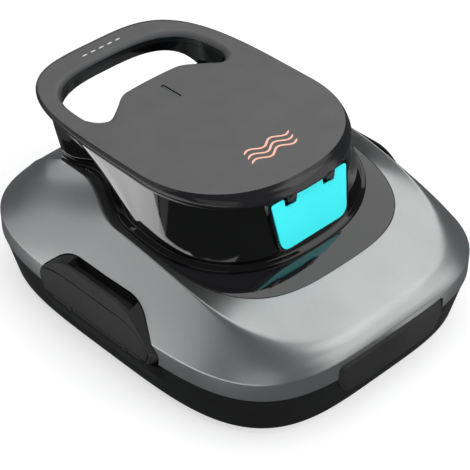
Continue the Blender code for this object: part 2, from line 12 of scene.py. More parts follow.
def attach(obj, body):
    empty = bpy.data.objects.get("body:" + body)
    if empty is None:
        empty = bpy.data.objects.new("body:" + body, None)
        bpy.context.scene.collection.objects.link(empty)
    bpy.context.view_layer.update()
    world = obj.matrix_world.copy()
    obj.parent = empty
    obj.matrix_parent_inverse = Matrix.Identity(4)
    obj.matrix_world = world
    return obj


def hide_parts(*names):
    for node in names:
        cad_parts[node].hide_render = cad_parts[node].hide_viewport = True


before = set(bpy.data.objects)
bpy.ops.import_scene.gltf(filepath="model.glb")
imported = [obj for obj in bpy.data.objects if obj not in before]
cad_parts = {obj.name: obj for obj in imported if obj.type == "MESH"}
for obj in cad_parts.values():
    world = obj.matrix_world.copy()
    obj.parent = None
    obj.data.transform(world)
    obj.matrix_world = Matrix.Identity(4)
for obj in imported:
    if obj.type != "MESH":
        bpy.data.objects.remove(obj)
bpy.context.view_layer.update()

MM = 0.001
SEGMENTS = 320                 # points round a shell; a multiple of 80 puts one on the rear corner
FILLET_STEPS = 5

# Outlines shared with the CAD model, in millimetres
SHELL_POWER = 3.8
TRAY_BOTTOM_Z, TRAY_RIM_Z = 6.0, 51.7
TRAY_BOTTOM, TRAY_RIM = (153.4, 189.3), (163.2, 199.2)
SKIRT = (164.0, 200.0)
SKIRT_BOTTOM_Z, CREASE_Z = 52.0, 71.0
RIDGE = dict(width=130.0, front=-188.0, power=3.9, rear_width=100.0, rear=119.0, pinch=(5.0, 88.0))
DECK = dict(width=120.0, front=-137.0, power=3.1, rear_width=88.0, rear=108.0, pinch=(5.0, 88.0))
FOOT = dict(width=118.5, front=-109.0, power=2.35, rear_width=85.5, rear=119.0, pinch=(3.0, 86.0), flare=11.5)
WALL = dict(width=113.0, front=-105.0, power=2.4, rear_width=80.0, rear=119.3, pinch=(0.0, 85.0), flare=16.5)
HOLLOW = dict(width=98.0, front=-93.0, power=2.35, rear_width=74.0, rear=97.0, pinch=(0.0, 85.0))
WAIST_Y = -8.0
REAR_CORNER_SHARE = 0.85
PLATE_WIDTH, PLATE_MIDDLE_Y, PLATE_FRONT, PLATE_REAR = 105.0, 8.0, -91.0, 190.5
PLATE_POWERS = (2.26, 3.66)
PLATE_Z, PLATE_SLOPE = 178.8, -0.012
BEVEL_BOTTOM_Z = 166.3
LOOP_WIDTH, LOOP_REAR, LOOP_FRONT, LOOP_DIP = 83.5, 167.0, 103.0, 21.0
LOOP_ROUND = 5.0               # how far the plate's surface rolls over into the hand opening
FLAP_TOP_Z, FLAP_BOTTOM_Z = 166.5, 119.5
FLAP_TOP_HALF, FLAP_BOTTOM_HALF = 45.5, 39.5
FLAP_TOP_Y, FLAP_BOTTOM_Y = 95.7, 104.7
REAR_FLAP_RISE, REAR_FLAP_SET_IN = 12.5, 6.5
FLAP_THICK, FLAP_THIN = 2.4, 0.8   # at its lower and its upper edge
CLIP_X = 23.0                  # the flap's two clips stand this far from the middle
LATCH_OUT_X = 167.2
LATCH_TOP_Z = 97.0
KNUCKLES_Y = (-40.0, 34.0)     # where each latch is hinged to the tray
PAD_FRONT_Y, PAD_REAR_Y, PAD_LOW_Z, PAD_HIGH_Z = -86.0, 82.0, 22.0, 48.6
BUMPER_OUT = 202.2
WHEEL_X, WHEEL_Y, WHEEL_RADIUS = 118.0, 120.0, 17.0
SMOOTH_ANGLE = math.radians(35.0)
SIDES = (("left", -1), ("right", 1))
ENDS = (("front", -1), ("rear", 1))


# ---------------------------------------------------------------- materials

class Graph:
    """A material's node tree with short calls for what repeats."""

    def __init__(self, name, colour, roughness, metallic=0.0, **sockets):
        self.material = bpy.data.materials.new(name)
        self.material.use_nodes = True
        self.nodes = self.material.node_tree.nodes
        self.links = self.material.node_tree.links
        self.shader = self.nodes["Principled BSDF"]
        self.shader.inputs["Base Color"].default_value = (*colour, 1.0)
        self.shader.inputs["Roughness"].default_value = roughness
        self.shader.inputs["Metallic"].default_value = metallic
        for socket, value in sockets.items():
            self.shader.inputs[socket.replace("_", " ")].default_value = value
        self.place = self.nodes.new("ShaderNodeTexCoord").outputs["Object"]
        self.colour, self.roughness = colour, roughness
        self.normal = None

    def stretch(self, x, y, z):
        node = self.nodes.new("ShaderNodeMapping")
        node.inputs["Scale"].default_value = (x, y, z)
        self.links.new(self.place, node.inputs["Vector"])
        return node.outputs["Vector"]

    def noise(self, scale, detail=2.0, vector=None):
        node = self.nodes.new("ShaderNodeTexNoise")
        node.inputs["Scale"].default_value = scale
        node.inputs["Detail"].default_value = detail
        self.links.new(vector or self.place, node.inputs["Vector"])
        return node.outputs["Fac"]

    def spread(self, value, low, high, start=0.3, end=0.7):
        node = self.nodes.new("ShaderNodeMapRange")
        for socket, number in zip(("From Min", "From Max", "To Min", "To Max"), (start, end, low, high)):
            node.inputs[socket].default_value = number
        self.links.new(value, node.inputs["Value"])
        return node.outputs["Result"]

    def mix_colour(self, factor, amount):
        """Varies the base colour by plus or minus an amount."""
        node = self.nodes.new("ShaderNodeMix")
        node.data_type = "RGBA"
        node.inputs["A"].default_value = (*[c * (1.0 - amount) for c in self.colour], 1.0)
        node.inputs["B"].default_value = (*[min(c * (1.0 + amount), 1.0) for c in self.colour], 1.0)
        self.links.new(factor, node.inputs["Factor"])
        self.links.new(node.outputs["Result"], self.shader.inputs["Base Color"])

    def vary_roughness(self, value, amount):
        self.links.new(self.spread(value, self.roughness - amount, self.roughness + amount),
                       self.shader.inputs["Roughness"])

    def bump(self, height, strength, distance):
        node = self.nodes.new("ShaderNodeBump")
        node.inputs["Strength"].default_value = strength
        node.inputs["Distance"].default_value = distance
        self.links.new(height, node.inputs["Height"])
        if self.normal:
            self.links.new(self.normal, node.inputs["Normal"])
        self.normal = node.outputs["Normal"]
        self.links.new(self.normal, self.shader.inputs["Normal"])


def moulded(name, colour, roughness, grain=900.0, depth=0.00004, varied=0.12, **sockets):
    """Moulded plastic: fine spark grain, slow mottling, and scuffs that polish it a little."""
    g = Graph(name, colour, roughness, **sockets)
    g.mix_colour(g.spread(g.noise(14.0, 4.0), 0.0, 1.0), varied)
    g.vary_roughness(g.noise(45.0, 6.0), 0.06)
    g.bump(g.noise(grain, 3.0), 0.35, depth)
    return g.material


def painted_silver():
    """Metallic lacquer: flakes under a clear coat."""
    g = Graph("silver_lacquer", (0.42, 0.437, 0.432), 0.33, 0.95, Coat_Weight=0.3, Coat_Roughness=0.15)
    flakes = g.nodes.new("ShaderNodeTexVoronoi")
    flakes.inputs["Scale"].default_value = 2600.0
    g.links.new(g.place, flakes.inputs["Vector"])
    g.mix_colour(g.spread(flakes.outputs["Distance"], 0.0, 1.0, 0.0, 0.8), 0.10)
    g.vary_roughness(g.noise(30.0, 5.0), 0.025)
    g.bump(flakes.outputs["Distance"], 0.10, 0.00002)
    g.bump(g.noise(220.0, 2.0), 0.04, 0.00005)
    return g.material


def gloss(name, colour, roughness=0.045, **sockets):
    """Polished black plastic with hairline swirls and a trace of orange peel."""
    g = Graph(name, colour, roughness, **sockets)
    g.mix_colour(g.noise(20.0, 3.0), 0.15)
    swirls = g.noise(60.0, 8.0, g.stretch(1.0, 14.0, 6.0))
    g.vary_roughness(swirls, 0.02)
    g.bump(g.noise(90.0, 1.0), 0.02, 0.0001)
    return g.material


def brushed(name, colour):
    g = Graph(name, colour, 0.28, 1.0)
    lines = g.noise(120.0, 6.0, g.stretch(1.0, 1.0, 30.0))
    g.mix_colour(lines, 0.15)
    g.vary_roughness(lines, 0.08)
    g.bump(lines, 0.2, 0.00003)
    return g.material


def woven(name, colour):
    g = Graph(name, colour, 0.75)
    heights = []
    for direction in ("X", "Y"):
        wave = g.nodes.new("ShaderNodeTexWave")
        wave.bands_direction = direction
        wave.inputs["Scale"].default_value = 320.0
        g.links.new(g.place, wave.inputs["Vector"])
        heights.append(wave.outputs["Fac"])
    both = g.nodes.new("ShaderNodeMath")
    both.operation = "MULTIPLY"
    g.links.new(heights[0], both.inputs[0])
    g.links.new(heights[1], both.inputs[1])
    g.mix_colour(both.outputs["Value"], 0.3)
    g.vary_roughness(g.noise(80.0), 0.05)
    g.bump(both.outputs["Value"], 0.5, 0.0003)
    return g.material


SILVER = painted_silver()
POD_GLOSS = gloss("pod_gloss", (0.003, 0.003, 0.0032), 0.045, IOR=1.5)
DECK_GLOSS = gloss("deck_gloss", (0.010, 0.010, 0.011), 0.035, IOR=1.75)
CHARCOAL = moulded("plate_charcoal", (0.078, 0.078, 0.0795), 0.44, 1500.0, 0.00003, 0.05)
BEVEL_SATIN = moulded("bevel_satin", (0.010, 0.010, 0.011), 0.17, 700.0, 0.000005, 0.1)
BASE_GREY = moulded("tray_grey", (0.009, 0.009, 0.0093), 0.42, 1100.0, 0.00004, 0.12, IOR=1.25)
LATCH_GREY = moulded("latch_grey", (0.019, 0.019, 0.0194), 0.40, 1100.0, 0.00003, 0.08, IOR=1.33)
RUBBER = moulded("black_rubber", (0.018, 0.018, 0.018), 0.55, 600.0, 0.00006, 0.2, IOR=1.35)
CYAN = moulded("flap_cyan", (0.035, 0.93, 1.0), 0.36, 800.0, 0.00001, 0.04)
INNER = moulded("inner_plastic", (0.06, 0.06, 0.065), 0.5, 800.0, 0.00003, 0.15)
DARK_GAP = moulded("dark_gap", (0.006, 0.006, 0.006), 0.6, 800.0, 0.00003, 0.2)
STEEL = brushed("brushed_steel", (0.62, 0.62, 0.64))
COPPER = brushed("copper_mark", (0.95, 0.50, 0.38))
MARK_WHITE = moulded("mark_white", (0.8, 0.8, 0.8), 0.4, 900.0, 0.00001, 0.05)
LENS = gloss("lens_smoke", (0.10, 0.11, 0.12), 0.08)
BOARD = gloss("board_green", (0.02, 0.20, 0.08), 0.3)
CELLS = gloss("cell_wrap", (0.05, 0.20, 0.45), 0.25)
MESH_CLOTH = woven("filter_cloth", (0.70, 0.73, 0.75))


# ---------------------------------------------------------------- mesh tools

def make_object(name, bm, materials):
    """Links a mesh given in millimetres as an object in metres."""
    bmesh.ops.recalc_face_normals(bm, faces=bm.faces)
    bmesh.ops.scale(bm, vec=(MM, MM, MM), verts=bm.verts)
    mesh = bpy.data.meshes.new(name)
    bm.to_mesh(mesh)
    bm.free()
    for item in materials:
        mesh.materials.append(item)
    mesh.shade_smooth()
    mesh.set_sharp_from_angle(angle=SMOOTH_ANGLE)
    piece = bpy.data.objects.new(name, mesh)
    bpy.context.scene.collection.objects.link(piece)
    return piece


def loft_mesh(rings, closed=False, capped=True, finish_of=None):
    """A skin through equal rings; finish_of(row) picks the material slot of each band."""
    bm = bmesh.new()
    rows = [[bm.verts.new(p) for p in ring] for ring in rings]
    pairs = list(zip(rows, rows[1:])) + ([(rows[-1], rows[0])] if closed else [])
    for band, (low, high) in enumerate(pairs):
        for i in range(len(low)):
            j = (i + 1) % len(low)
            face = bm.faces.new((low[i], low[j], high[j], high[i]))
            face.material_index = finish_of(band) if finish_of else 0
    if capped and not closed:
        bm.faces.new(rows[0])
        bm.faces.new(rows[-1]).material_index = finish_of(len(pairs)) if finish_of else 0
    return bm


def block_mesh(low, high, bevel=0.5, segments=2):
    bm = bmesh.new()
    size = Vector(high) - Vector(low)
    centre = (Vector(high) + Vector(low)) / 2.0
    bmesh.ops.create_cube(bm, size=1.0, matrix=Matrix.Translation(centre) @ Matrix.Diagonal((*size, 1.0)))
    if bevel:
        bmesh.ops.bevel(bm, geom=bm.edges, offset=bevel, segments=segments, affect="EDGES", profile=0.6)
    return bm


def slab_mesh(outer, inner):
    """A body between two grids of points that face each other."""
    bm = bmesh.new()
    rows, columns = len(outer), len(outer[0])
    sheets = [[[bm.verts.new(p) for p in row] for row in grid] for grid in (outer, inner)]
    for sheet in sheets:
        for r in range(rows - 1):
            for c in range(columns - 1):
                bm.faces.new((sheet[r][c], sheet[r][c + 1], sheet[r + 1][c + 1], sheet[r + 1][c]))
    edge = [(0, c) for c in range(columns)] + [(r, columns - 1) for r in range(1, rows)]
    edge += [(rows - 1, c) for c in range(columns - 2, -1, -1)] + [(r, 0) for r in range(rows - 2, 0, -1)]
    for i, (r, c) in enumerate(edge):
        nr, nc = edge[(i + 1) % len(edge)]
        bm.faces.new((sheets[0][r][c], sheets[0][nr][nc], sheets[1][nr][nc], sheets[1][r][c]))
    return bm


def apply_modifiers(piece):
    evaluated = piece.evaluated_get(bpy.context.evaluated_depsgraph_get())
    mesh = bpy.data.meshes.new_from_object(evaluated)
    old = piece.data
    piece.modifiers.clear()
    piece.data = mesh
    bpy.data.meshes.remove(old)


def carve(piece, tools, operation="DIFFERENCE"):
    """Cuts (or joins) each tool mesh in turn, then forgets the tools."""
    for number, bm in enumerate(tools):
        tool = make_object(piece.name + "_tool" + str(number), bm, piece.data.materials[:1])
        change = piece.modifiers.new("carve", "BOOLEAN")
        change.operation = operation
        change.object = tool
        apply_modifiers(piece)
        bpy.data.objects.remove(tool, do_unlink=True)
    piece.data.shade_smooth()
    piece.data.set_sharp_from_angle(angle=SMOOTH_ANGLE)


def soften(piece, width, segments=2, angle=38.0):
    """Rounds the edges sharper than an angle."""
    change = piece.modifiers.new("edges", "BEVEL")
    change.width = width * MM
    change.segments = segments
    change.limit_method = "ANGLE"
    change.angle_limit = math.radians(angle)
    change.harden_normals = True
    apply_modifiers(piece)


def flatten(piece):
    """Lets the large faces of a piece set its shading."""
    weigh = piece.modifiers.new("normals", "WEIGHTED_NORMAL")
    weigh.keep_sharp = True
    apply_modifiers(piece)


def seat(piece, body, *nodes, slot=None):
    """Rides a piece on its body, and hides the CAD nodes that it stands for."""
    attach(piece, body)
    if nodes:
        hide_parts(*nodes)
    return piece


# ---------------------------------------------------------------- outlines

def smoothstep(value, low, high):
    t = min(max((value - low) / (high - low), 0.0), 1.0)
    return t * t * (3.0 - 2.0 * t)


def signed_power(value, power):
    return math.copysign(abs(value) ** (2.0 / power), value)


def turns(count=SEGMENTS):
    return [2.0 * math.pi * i / count for i in range(count)]


def oval(half_width, half_length, z, power=SHELL_POWER):
    return [Vector((half_width * signed_power(math.cos(a), power),
                    half_length * signed_power(math.sin(a), power), z)) for a in turns()]


def pinched(shape, height, inset=0.0):
    """A ring round the pod: squared oval in front, drawn in towards a square rear end."""
    width, rear_width = shape["width"] - inset, shape["rear_width"] - inset
    front, rear = shape["front"] + inset, shape["rear"] - inset
    ring = []
    for a in turns():
        c, s = math.cos(a), math.sin(a)
        if s <= 0.0:
            x = width * abs(c) ** (2.0 / shape["power"])
            y = WAIST_Y - (WAIST_Y - front) * abs(s) ** (2.0 / shape["power"])
        else:
            quarter = math.asin(min(s, 1.0)) / (math.pi / 2.0)
            y = WAIST_Y + (rear - WAIST_Y) * min(quarter / REAR_CORNER_SHARE, 1.0)
            x = width - (width - rear_width) * smoothstep(y, *shape["pinch"])
            x += shape.get("flare", 0.0) * smoothstep(y, 84.0, 119.0)
            x *= min((1.0 - quarter) / (1.0 - REAR_CORNER_SHARE), 1.0)
        ring.append(Vector((math.copysign(x, c), y, height(y))))
    return ring


def plate_outline(z, inset=0.0, front_extra=0.0, slope=0.0, even_rear=False):
    """The top plate's outline; even_rear spreads its points as the pod rings do."""
    ring = []
    for a in turns():
        power = PLATE_POWERS[0] if math.sin(a) < 0.0 else PLATE_POWERS[1]
        reach = PLATE_MIDDLE_Y - PLATE_FRONT + front_extra if math.sin(a) < 0.0 else PLATE_REAR - PLATE_MIDDLE_Y
        if even_rear and math.sin(a) > 0.0:
            quarter = math.asin(min(math.sin(a), 1.0)) / (math.pi / 2.0)
            early = min(quarter / REAR_CORNER_SHARE, 1.0) * 0.5
            late = max(quarter - REAR_CORNER_SHARE, 0.0) / (1.0 - REAR_CORNER_SHARE) * 0.5
            a_rear = (early + late) * math.pi / 2.0
            a = a_rear if math.cos(a) > 0.0 else math.pi - a_rear
        x = (PLATE_WIDTH - inset) * signed_power(math.cos(a), power)
        y = PLATE_MIDDLE_Y + (reach - inset) * signed_power(math.sin(a), power)
        ring.append(Vector((x, y, z + slope * y)))
    return ring


def rim(z, rear_inset, front_inset, front_extra, even_rear=False):
    """A plate outline whose inset differs between the handle and the front."""
    rear = plate_outline(z, rear_inset, 0.0, 0.0, even_rear)
    front = plate_outline(z, front_inset, front_extra, 0.0, even_rear)
    return [p.lerp(q, smoothstep(-p.y, -70.0, 20.0)) for p, q in zip(rear, front)]


def loop_outline(z, grow=0.0):
    """The hand opening: an arched rear side, and a front side whose corners reach forward."""
    ring = []
    for a in turns(160):
        c, s = math.cos(a), math.sin(a)
        x = (LOOP_WIDTH + grow) * signed_power(c, 3.0)
        y = 100.0 + (LOOP_REAR + grow - 100.0) * abs(s) ** (2.0 / 3.0)
        if s < 0.0:
            dip = LOOP_DIP * smoothstep(abs(x), 30.0, 72.0)
            bow = 3.0 * max(1.0 - (x / 48.0) ** 2, 0.0)
            y = LOOP_FRONT + bow - grow - dip + (100.0 - LOOP_FRONT + LOOP_DIP) * abs(c) ** 9
        ring.append(Vector((x, y, z)))
    return ring


def ridge_height(y):
    return 131.0 - 45.0 * (max(22.0 - y, 0.0) / 210.0) ** 1.7


def deck_height(y):
    return 123.6 + (0.153 if y < 0.0 else 0.03) * y


def plate_height(y):
    return PLATE_Z + PLATE_SLOPE * y


def lifted(rise):
    """Heights above (or below) the deck; the pod's rear corners climb to the ridge."""
    return lambda y: deck_height(y) + rise + 3.6 * smoothstep(y, 104.0, 119.0)


def deck_plus(rise):
    return lambda y: deck_height(y) + rise


def blend(a, b, share):
    return [p.lerp(q, share) for p, q in zip(a, b)]


def filleted(rings, radii):
    """Rounds the profile at each inner ring: every corner becomes a short arc of rings."""
    out = [[] for _ in range(1 + (len(rings) - 2) * (FILLET_STEPS + 1) + 1)]
    for column in range(len(rings[0])):
        path = [ring[column] for ring in rings]
        line = [path[0]]
        for k in range(1, len(path) - 1):
            before, corner, after = path[k - 1], path[k], path[k + 1]
            radius = min(radii[k], (before - corner).length * 0.48, (after - corner).length * 0.48)
            start = corner + (before - corner).normalized() * radius
            end = corner + (after - corner).normalized() * radius
            for step in range(FILLET_STEPS + 1):
                t = step / FILLET_STEPS
                line.append(start.lerp(corner, t).lerp(corner.lerp(end, t), t))
        line.append(path[-1])
        for row, point in zip(out, line):
            row.append(point)
    return out


def filleted_by(rings, radius_of):
    """As filleted(), with a radius that depends on the ring number and the point."""
    out = []
    for column in range(len(rings[0])):
        path = [ring[column] for ring in rings]
        radii = [radius_of(k, path[k]) for k in range(len(path))]
        single = filleted([[p] for p in path], radii)
        out.append([row[0] for row in single])
    return [list(row) for row in zip(*out)]


def rounded_polygon(corners, steps=6):
    """Points round a polygon of (a, b, radius) corners, each rounded to its radius."""
    points = []
    for k, (a, b, radius) in enumerate(corners):
        corner = Vector((a, b))
        before = Vector(corners[k - 1][:2])
        after = Vector(corners[(k + 1) % len(corners)][:2])
        reach = min(radius, (before - corner).length * 0.48, (after - corner).length * 0.48)
        start = corner + (before - corner).normalized() * reach
        end = corner + (after - corner).normalized() * reach
        for step in range(steps + 1):
            t = step / steps
            points.append(start.lerp(corner, t).lerp(corner.lerp(end, t), t))
    return points


def sorted_corner(a, b):
    """The low and the high corner of the box between two points."""
    return [min(p, q) for p, q in zip(a, b)], [max(p, q) for p, q in zip(a, b)]


def prism_mesh(points, front, back):
    """A plate with the same outline in front and behind; front and back turn 2-D points into 3-D."""
    return loft_mesh([[front(p) for p in points], [back(p) for p in points]])


def at_x(x):
    """Lays an outline in (y, z) on a plane."""
    return lambda p: Vector((x, p.x, p.y))


def at_y(y):
    """Lays an outline in (x, z) on a plane."""
    return lambda p: Vector((p.x, y, p.y))


def at_z(z):
    """Lays an outline in (x, y) on a plane."""
    return lambda p: Vector((p.x, p.y, z))


def on_flap(side, proud):
    """Lays an outline in (x, z) along a jet flap's face."""
    return lambda p: Vector((p.x, flap_y(p.y, side, proud), p.y))


def on_latch(side, depth):
    """Lays an outline in (y, z) along a latch's face."""
    return lambda p: Vector((side * latch_face(p.y, depth), p.x, p.y))


# ---------------------------------------------------------------- silver shell and deck

def latch_outline(front, rear, top, bottom, foot):
    """The latch's outline from its side, in (y, z), with a margin at its ends, its top and its foot."""
    high = LATCH_TOP_Z - top
    return rounded_polygon([(-74.0 + foot, bottom, 1.5), (-84.0 + front, 60.0, 12.0),
                            (-47.0 + front * 0.6, high, 16.0), (47.0 - rear * 0.6, high, 16.0),
                            (78.0 - rear, 66.0, 16.0), (70.0 - foot, bottom, 1.5)], 8)


def notch_mesh(side):
    """The opening for a latch, open at the bottom."""
    return prism_mesh(latch_outline(0.0, 0.0, 0.0, 38.0, 0.0), at_x(side * 132.0), at_x(side * 175.0))


def bumper_outline(inset):
    return rounded_polygon([(-57.0 + inset, 31.0 + inset, 9.0), (57.0 - inset, 31.0 + inset, 9.0),
                            (66.0 - inset, 49.0, 12.0), (64.5 - inset, 65.0 - inset, 5.0),
                            (-64.5 + inset, 65.0 - inset, 5.0), (-66.0 + inset, 49.0, 12.0)], 8)


def cover_rings():
    ridge = pinched(RIDGE, ridge_height)
    crease = oval(*SKIRT, CREASE_Z)
    middle = []
    for p in blend(crease, ridge, 0.5):
        corner = smoothstep(p.y, 50.0, 150.0) * smoothstep(abs(p.x), 40.0, 120.0)
        middle.append(p + Vector((p.x, p.y, 60.0)).normalized() * (2.6 + 7.5 * corner))
    outer = [oval(SKIRT[0] - 1.0, SKIRT[1] - 1.0, SKIRT_BOTTOM_Z), oval(*SKIRT, SKIRT_BOTTOM_Z + 0.6), crease,
             middle, ridge, pinched(DECK, deck_height, -0.3), pinched(DECK, deck_plus(-2.8), -0.3)]

    def radius(k, p):
        ridge_round = 2.2 + 9.0 * smoothstep(-p.y, 70.0, 175.0)
        return (0.0, 0.5, 1.3, 30.0, ridge_round, 0.45, 0.0)[k]

    inner_ridge = pinched(RIDGE, lambda y: ridge_height(y) - 6.0, 4.0)
    inner_crease = oval(SKIRT[0] - 3.0, SKIRT[1] - 3.0, CREASE_Z - 1.5)
    inner = [pinched(DECK, deck_plus(-2.8), 7.0), pinched(DECK, deck_plus(-6.0), 7.0),
             pinched(DECK, deck_plus(-6.0), -1.0), inner_ridge, blend(inner_crease, inner_ridge, 0.5),
             inner_crease, oval(SKIRT[0] - 3.0, SKIRT[1] - 3.0, SKIRT_BOTTOM_Z)]
    return filleted_by(outer, radius) + inner


def make_cover():
    cover = make_object("silver_shell", loft_mesh(cover_rings(), closed=True), [SILVER])
    tools = [notch_mesh(side) for _, side in SIDES]
    for _, side in ENDS:
        points = [Vector((p.x, p.y if p.y > 49.0 else p.y - 20.0)) for p in bumper_outline(-1.0)]
        tools.append(prism_mesh(points, at_y(side * 185.0), at_y(side * 212.0)))
    carve(cover, tools)
    soften(cover, 0.5)
    seat(cover, "upper", "top_cover", slot="silver_paint")


def make_deck():
    hole = dict(width=98.0, front=-103.0, power=2.4, rear_width=72.0, rear=97.0, pinch=(3.0, 86.0))
    outer = filleted([pinched(DECK, deck_plus(-2.5)), pinched(DECK, deck_height), pinched(hole, deck_height)],
                     (0.0, 0.5, 0.0))
    panel = make_object("deck_panel_gloss", loft_mesh(outer + [pinched(hole, deck_plus(-2.5))], closed=True),
                        [DECK_GLOSS])
    seat(panel, "upper", "deck_panel", slot="gloss_black")


# ---------------------------------------------------------------- pod, handle and top plate

def pod_rings():
    low = pinched(WALL, lifted(8.0))
    top = rim(BEVEL_BOTTOM_Z - 0.4, 5.0, 1.8, 9.0, even_rear=True)
    rings = [pinched(FOOT, lifted(0.3)), pinched(FOOT, lifted(2.8)), pinched(WALL, lifted(4.2), 1.5), low]
    rings = filleted(rings + [blend(low, top, 0.2)], (0.0, 1.2, 2.0, 1.5, 0.0))
    return rings + [blend(low, top, step / 14.0) for step in range(4, 15)]


def flap_half(z):
    share = (z - FLAP_BOTTOM_Z) / (FLAP_TOP_Z - FLAP_BOTTOM_Z)
    return FLAP_BOTTOM_HALF + (FLAP_TOP_HALF - FLAP_BOTTOM_HALF) * share


def flap_y(z, side, proud=0.0):
    slope = (FLAP_BOTTOM_Y - FLAP_TOP_Y) / (FLAP_TOP_Z - FLAP_BOTTOM_Z)
    return side * (FLAP_TOP_Y + slope * (FLAP_TOP_Z - z) + proud - (REAR_FLAP_SET_IN if side > 0 else 0.0))


def flap_corners(side, grow):
    low = FLAP_BOTTOM_Z + (REAR_FLAP_RISE if side > 0 else 0.0) - grow
    high = FLAP_TOP_Z + grow
    bottom, top = flap_half(low) + grow, flap_half(high) + grow
    return low, high, [(-bottom, low, 10.0 + grow), (bottom, low, 10.0 + grow), (top, high, 3.0 + grow),
                       (-top, high, 3.0 + grow)]


def outlet_mesh(side):
    _, _, corners = flap_corners(side, 1.1)
    return prism_mesh(rounded_polygon(corners), at_y(side * 75.0), at_y(side * 122.0))


def make_pod():
    pod = make_object("pod_wall", loft_mesh(pod_rings()), [POD_GLOSS])
    hollow = loft_mesh([pinched(HOLLOW, lambda y: 95.0), pinched(HOLLOW, lambda y: 162.5)])
    under_bar = block_mesh((-75.0, 100.0, 60.0), (75.0, 230.0, 153.5), 4.0, 3)
    loop = loft_mesh([loop_outline(146.0, 0.4), loop_outline(200.0, 0.4)])
    holes = [block_mesh((x - 6.0, 90.0, 146.0), (x + 6.0, 110.0, 158.0), 1.0) for x in (-65.0, 65.0)]
    carve(pod, [hollow, under_bar, loop] + [outlet_mesh(side) for _, side in ENDS] + holes)
    soften(pod, 0.9, 3)
    seat(pod, "upper", "pod_housing", "handle_frame", slot="gloss_black")


def make_plate():
    low = BEVEL_BOTTOM_Z
    rings = [rim(low + 2.0, 14.0, 10.0, 8.0), rim(low, 7.0, 3.5, 9.5), rim(low, 4.0, 0.8, 9.8),
             rim(low + 3.2, 0.4, -1.0, 8.6), rim(171.6, -2.2, -2.3, 6.0), rim(175.2, -2.4, -2.1, 3.0),
             rim(177.4, -1.4, -1.2, 1.0), plate_outline(PLATE_Z, 0.0, 0.0, PLATE_SLOPE),
             plate_outline(PLATE_Z, 4.0, 0.0, PLATE_SLOPE)]
    rings = filleted(rings, (0.0, 0.4, 0.7, 3.0, 3.0, 2.0, 1.5, 0.5, 0.0))
    crisp_edge = 7 * (FILLET_STEPS + 1) - FILLET_STEPS // 2     # charcoal from halfway round the top edge
    plate = make_object("top_plate_skin", loft_mesh(rings, finish_of=lambda row: int(row >= crisp_edge)),
                        [BEVEL_SATIN, CHARCOAL])
    slot = rounded_polygon([(-1.9, 65.4, 1.8), (1.9, 65.4, 1.8), (1.9, 90.6, 1.8), (-1.9, 90.6, 1.8)])
    carve(plate, [loft_mesh([loop_outline(140.0, LOOP_ROUND), loop_outline(200.0, LOOP_ROUND)]),
                  prism_mesh(slot, at_z(170.0), at_z(190.0)),
                  block_mesh((-46.8, -130.0, 150.0), (46.8, -FLAP_TOP_Y + 2.6, FLAP_TOP_Z + 2.2), 0.0)])
    seat(plate, "upper", "top_plate", slot="charcoal")
    bar = block_mesh((-0.8, 66.5, PLATE_Z - 3.6), (0.8, 89.5, PLATE_Z - 1.5), 0.4)
    lens = make_object("status_lens", bar, [LENS])
    seat(lens, "upper", "led_lens", slot="lens")


def make_collar():
    """The roll-over into the hand opening: full round the bar and arms, none at the island's edge."""
    def row(share, drop):
        ring = loop_outline(0.0, LOOP_ROUND * (1.0 - share))
        for p in ring:
            on_bar = 1.0 if p.y > 107.0 else smoothstep(abs(p.x), 56.0, 72.0)
            p.z = plate_height(p.y) - drop * (0.08 + 0.92 * on_bar)
        return ring

    steps = 14
    rings = [row(math.sin(k / steps * math.pi / 2.0), 5.0 * (1.0 - math.cos(k / steps * math.pi / 2.0)))
             for k in range(steps + 1)]
    rolled = len(rings)
    rings += [loop_outline(166.5, 0.0), loop_outline(166.0, 0.6), loop_outline(166.0, LOOP_ROUND - 0.1)]
    collar = make_object("loop_collar", loft_mesh(rings, closed=True, finish_of=lambda k: int(k >= rolled - 1)),
                         [CHARCOAL, BEVEL_SATIN])
    seat(collar, "upper")


def ribbon(name, path, width, material, raised=0.25):
    """A flat printed stroke with round ends that lies on the top plate."""
    bm = bmesh.new()
    left, right = [], []
    for k, point in enumerate(path):
        ahead = path[min(k + 1, len(path) - 1)] - path[max(k - 1, 0)]
        across = Vector((-ahead.y, ahead.x)).normalized()
        taper = min(1.0, 0.25 + min(k, len(path) - 1 - k) / 3.0)
        for row, sign in ((left, 1.0), (right, -1.0)):
            edge = point + across * sign * width / 2.0 * taper
            row.append(Vector((edge.x, edge.y, plate_height(edge.y))))
    loop = left + right[::-1]
    lower = [bm.verts.new(p - Vector((0, 0, 0.3))) for p in loop]
    upper = [bm.verts.new(p + Vector((0, 0, raised))) for p in loop]
    count, half = len(loop), len(path)
    for k in range(count):
        bm.faces.new((lower[k], lower[(k + 1) % count], upper[(k + 1) % count], upper[k]))
    for sheet in (lower, upper):
        for k in range(half - 1):
            bm.faces.new((sheet[k], sheet[k + 1], sheet[count - 2 - k], sheet[count - 1 - k]))
    return make_object(name, bm, [material])


def make_marks():
    """A generic wave sign in copper on the plate, and a short white dash row on the handle."""
    for row in range(3):
        path = []
        for k in range(41):
            t = k / 40.0
            wave = 3.0 * math.sin(t * 4.0 * math.pi)
            path.append(Vector((-27.0 + 54.0 * t + 2.0 * row, -54.0 + 7.0 * row + wave)))
        seat(ribbon("wave_mark_" + str(row + 1), path, 2.1, COPPER), "upper")
    for k in range(5):
        x = -20.0 + 10.0 * k
        dash = [Vector((x + 1.2 * step, 178.5)) for step in range(6)]
        seat(ribbon("handle_dash_" + str(k + 1), dash, 1.8, MARK_WHITE), "upper")


# ---------------------------------------------------------------- jet flaps

